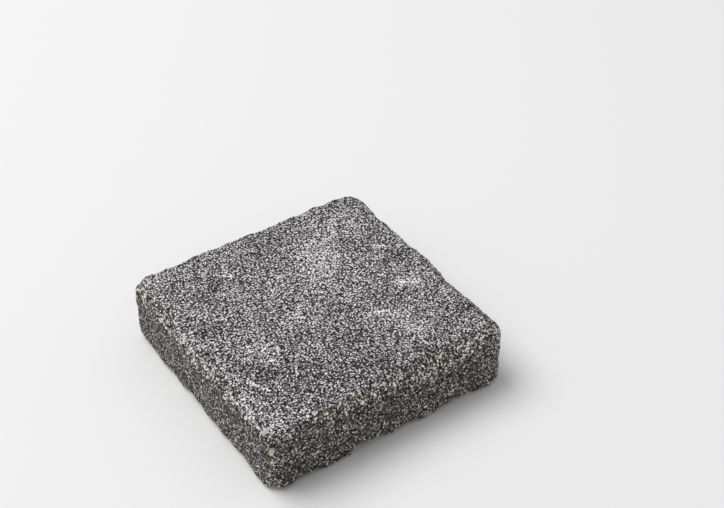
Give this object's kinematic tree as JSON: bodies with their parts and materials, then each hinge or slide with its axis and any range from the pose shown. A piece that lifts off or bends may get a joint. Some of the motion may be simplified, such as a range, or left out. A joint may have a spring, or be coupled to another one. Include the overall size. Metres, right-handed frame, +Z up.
{
  "type": "tumbled concrete paving stone",
  "caption": "Square charcoal concrete paver with a flat walking face, tumbled and knocked arrises and rounded corners, laid flat on its bed face",
  "frame": {"origin": "middle of the footprint, on the plane of the bed face that the stone lies on", "axes": "X and Y along the sides, Z up out of the walking face"},
  "size_m": [0.2, 0.2, 0.052],
  "materials": {
    "charcoal_concrete": "through-coloured charcoal concrete with pale sand flecks, rough and matt, worn on the arrises"
  },
  "bodies": {
    "root": {"paving_stone": "charcoal_concrete"}
  },
  "joints": []
}
